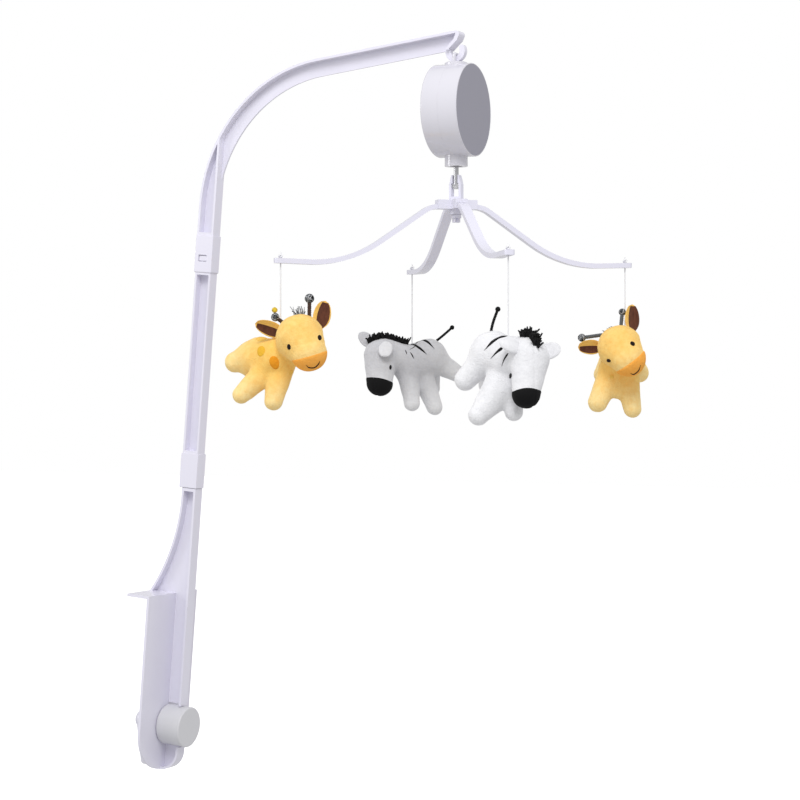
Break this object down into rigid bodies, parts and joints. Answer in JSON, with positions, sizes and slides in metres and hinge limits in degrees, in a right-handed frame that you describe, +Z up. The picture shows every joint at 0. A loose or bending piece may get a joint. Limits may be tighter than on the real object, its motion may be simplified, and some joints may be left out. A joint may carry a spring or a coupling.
{
  "type": "crib mobile",
  "caption": "Wind-up crib mobile: rail clamp, snap-together arm with a hook, round music box, cross-shaped spider and plush animals on strings.",
  "frame": {"origin": "on the underside of the ledge that sits on the crib rail, under the mast", "axes": "+Z up, +X the way the arm reaches over the crib, -Y the open side of the arm's channel"},
  "size_m": [0.4873, 0.3071, 0.6656],
  "materials": {
    "arm_plastic": "gloss",
    "case_plastic": "gloss",
    "knob_plastic": "satin",
    "disc_grey": "matte",
    "spider_plastic": "gloss",
    "clamp_plastic": "gloss",
    "movement_steel": "brushed",
    "movement_brass": "polished",
    "movement_zinc": "cast",
    "gear_plastic": "satin",
    "string_white": "twisted thread",
    "giraffe_plush": "short plush",
    "zebra_plush": "short plush",
    "mane_black": "thread fringe",
    "horn_orange": "plush"
  },
  "bodies": {
    "bracket": {"lower_arm": "arm_plastic", "middle_arm": "arm_plastic", "upper_arm": "arm_plastic"},
    "bolt": {"clamp_bolt": "clamp_plastic", "clamp_jaw": "clamp_plastic"},
    "knob": {"clamp_knob": "knob_plastic", "clamp_knob_cap": "knob_plastic"},
    "music_box": {"case_back": "case_plastic", "case_front": "case_plastic", "front_disc": "disc_grey", "hanger_eye": "case_plastic", "neck_bush": "gear_plastic", "movement_frame": "movement_zinc", "music_comb": "movement_steel", "comb_screws": "movement_steel", "governor_cage": "movement_zinc"},
    "key": {"winding_key": "case_plastic", "barrel_arbor": "movement_steel"},
    "barrel": {"spring_barrel": "gear_plastic", "mainspring": "movement_steel"},
    "governor": {"governor_fly": "gear_plastic"},
    "shaft": {"drive_shaft": "movement_steel", "shaft_clip": "movement_steel", "pinned_drum": "movement_brass"},
    "spider": {"spider_hub": "spider_plastic", "hub_screw": "spider_plastic", "spider_arm_1": "spider_plastic", "spider_arm_2": "spider_plastic", "spider_arm_3": "spider_plastic", "spider_arm_4": "spider_plastic", "zebra_far_knot": "string_white", "giraffe_left_knot": "string_white", "zebra_near_knot": "string_white", "giraffe_right_knot": "string_white"},
    "zebra_far_cord": {"zebra_far_string": "string_white"},
    "zebra_far": {"zebra_far_body": "zebra_plush", "zebra_far_tail": "zebra_plush", "zebra_far_mane": "mane_black"},
    "giraffe_left_cord": {"giraffe_left_string": "string_white"},
    "giraffe_left": {"giraffe_left_body": "giraffe_plush", "giraffe_left_tail": "giraffe_plush", "giraffe_left_horns": "horn_orange"},
    "zebra_near_cord": {"zebra_near_string": "string_white"},
    "zebra_near": {"zebra_near_body": "zebra_plush", "zebra_near_tail": "zebra_plush", "zebra_near_mane": "mane_black"},
    "giraffe_right_cord": {"giraffe_right_string": "string_white"},
    "giraffe_right": {"giraffe_right_body": "giraffe_plush", "giraffe_right_tail": "giraffe_plush", "giraffe_right_horns": "horn_orange"}
  },
  "joints": [
    {"name": "knob_turn", "type": "hinge", "parent": "bracket", "child": "knob", "pos_m": [0.00372, 0, -0.12071], "axis": [0.9966, 0, -0.0819], "range_deg": [-1080, 2160]},
    {"name": "bolt_draw", "type": "slide", "parent": "bracket", "child": "bolt", "axis": [0.9966, 0, -0.0819], "range_m": [-0.006, 0.012]},
    {"name": "box_swing", "type": "hinge", "parent": "bracket", "child": "music_box", "pos_m": [0.30646, 0, 0.48207], "axis": [-0.0698, 0.9976, 0], "range_deg": [-8, 8]},
    {"name": "key_wind", "type": "hinge", "parent": "music_box", "child": "key", "pos_m": [0.28931, -0.0012, 0.43932], "axis": [0.9976, 0.0698, 0], "range_deg": [0, 2160]},
    {"name": "shaft_spin", "type": "hinge", "parent": "music_box", "child": "shaft", "pos_m": [0.30646, 0, 0.38492], "axis": [0, 0, 1], "continuous": true},
    {"name": "barrel_turn", "type": "hinge", "parent": "music_box", "child": "barrel", "pos_m": [0.29848, -0.00056, 0.43932], "axis": [0.9976, 0.0698, 0], "continuous": true},
    {"name": "fly_spin", "type": "hinge", "parent": "music_box", "child": "governor", "pos_m": [0.30741, -0.01347, 0.41562], "axis": [0, 0, 1], "continuous": true},
    {"name": "spider_tilt", "type": "hinge", "parent": "shaft", "child": "spider", "pos_m": [0.30646, 0, 0.37012], "axis": [0.0523, 0.9986, 0], "range_deg": [-3, 3]},
    {"name": "zebra_far_swing", "type": "hinge", "parent": "spider", "child": "zebra_far_cord", "pos_m": [0.20275, 0.11519, 0.30242], "axis": [-0.7431, -0.6691, 0], "range_deg": [-18, 18]},
    {"name": "zebra_far_turn", "type": "hinge", "parent": "zebra_far_cord", "child": "zebra_far", "pos_m": [0.20275, 0.11519, 0.23492], "axis": [0, 0, 1], "range_deg": [-180, 180]},
    {"name": "giraffe_left_swing", "type": "hinge", "parent": "spider", "child": "giraffe_left_cord", "pos_m": [0.19128, -0.10372, 0.30242], "axis": [0.6691, -0.7431, 0], "range_deg": [-18, 18]},
    {"name": "giraffe_left_turn", "type": "hinge", "parent": "giraffe_left_cord", "child": "giraffe_left", "pos_m": [0.19128, -0.10372, 0.23492], "axis": [0, 0, 1], "range_deg": [-180, 180]},
    {"name": "zebra_near_swing", "type": "hinge", "parent": "spider", "child": "zebra_near_cord", "pos_m": [0.41018, -0.11519, 0.30242], "axis": [0.7431, 0.6691, 0], "range_deg": [-18, 18]},
    {"name": "zebra_near_turn", "type": "hinge", "parent": "zebra_near_cord", "child": "zebra_near", "pos_m": [0.41018, -0.11519, 0.23492], "axis": [0, 0, 1], "range_deg": [-180, 180]},
    {"name": "giraffe_right_swing", "type": "hinge", "parent": "spider", "child": "giraffe_right_cord", "pos_m": [0.42165, 0.10372, 0.30242], "axis": [-0.6691, 0.7431, 0], "range_deg": [-18, 18]},
    {"name": "giraffe_right_turn", "type": "hinge", "parent": "giraffe_right_cord", "child": "giraffe_right", "pos_m": [0.42165, 0.10372, 0.23492], "axis": [0, 0, 1], "range_deg": [-180, 180]}
  ],
  "couplings": [
    {"joint": "bolt_draw", "follows": "knob_turn", "m_per_rad": 0.00031831},
    {"joint": "barrel_turn", "follows": "shaft_spin", "ratio": -0.33333},
    {"joint": "fly_spin", "follows": "shaft_spin", "ratio": -4}
  ]
}
